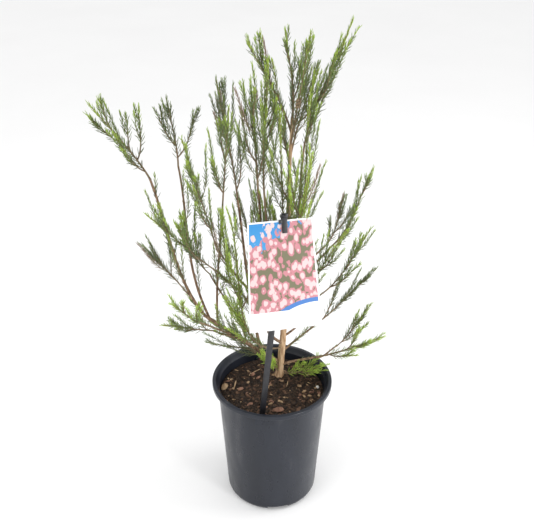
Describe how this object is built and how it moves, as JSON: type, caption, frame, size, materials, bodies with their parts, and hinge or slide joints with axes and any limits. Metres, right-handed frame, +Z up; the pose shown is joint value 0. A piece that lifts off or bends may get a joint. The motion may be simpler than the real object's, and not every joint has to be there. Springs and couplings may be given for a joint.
{
  "type": "potted bracelet honey myrtle",
  "caption": "Upright needle-leaved flowering shrub in a round black nursery pot, with a picture label on a slim stem.",
  "frame": {"origin": "middle of the pot's flat underside", "axes": "+Z up along the pot's axis, -Y towards the side that the label faces, +X to the right seen from there"},
  "size_m": [0.3038, 0.2175, 0.5701],
  "materials": {
    "pot_plastic": "satin charcoal",
    "potting_mix": "moist composted bark",
    "label_print": "printed card, soft gloss",
    "label_plastic": "black moulded",
    "trunk_bark": "tan peeling bark",
    "bough_bark": "brown bark",
    "needle_green": "matte needles"
  },
  "bodies": {
    "root": {"pot": "pot_plastic", "potting_mix": "potting_mix", "label_card": "label_print", "label_stem": "label_plastic", "trunk": "trunk_bark", "bough_left_foot": "bough_bark", "bough_left_outer": "bough_bark", "bough_left_inner": "bough_bark", "bough_left_stem": "bough_bark", "bough_left_mid": "bough_bark", "bough_left_short": "bough_bark", "bough_left_low": "bough_bark", "bough_left_pale": "bough_bark", "bough_centre": "bough_bark", "bough_left_leafy": "bough_bark", "bough_left_front": "bough_bark", "bough_front_left": "bough_bark", "bough_front_right": "bough_bark", "bough_right_low": "bough_bark", "bough_right_rim": "bough_bark", "bough_right_lower": "bough_bark", "bough_right_mid": "bough_bark", "bough_right_upper": "bough_bark", "bough_right_back": "bough_bark", "bough_right_tall": "bough_bark", "foliage_left_outer": "needle_green", "foliage_left_inner": "needle_green", "foliage_left_stem": "needle_green", "foliage_left_mid": "needle_green", "foliage_left_short": "needle_green", "foliage_left_low": "needle_green", "foliage_left_pale": "needle_green", "foliage_left_rim": "needle_green", "foliage_left_leafy": "needle_green", "foliage_left_front": "needle_green", "foliage_centre": "needle_green", "foliage_centre_bright": "needle_green", "foliage_front_left": "needle_green", "foliage_front_right": "needle_green", "foliage_leader_front": "needle_green", "foliage_top_dark": "needle_green", "foliage_top_back": "needle_green", "foliage_top_right": "needle_green", "foliage_top_left": "needle_green", "foliage_top_tip": "needle_green", "foliage_right_tall": "needle_green", "foliage_right_inner": "needle_green", "foliage_right_front": "needle_green", "foliage_right_card": "needle_green", "foliage_right_upper": "needle_green", "foliage_right_back": "needle_green", "foliage_right_mid": "needle_green", "foliage_right_lower": "needle_green", "foliage_right_rim": "needle_green", "foliage_right_low": "needle_green", "foliage_back_left": "needle_green", "foliage_back_right": "needle_green", "foliage_foot_right": "needle_green", "foliage_foot_left": "needle_green"}
  },
  "joints": []
}
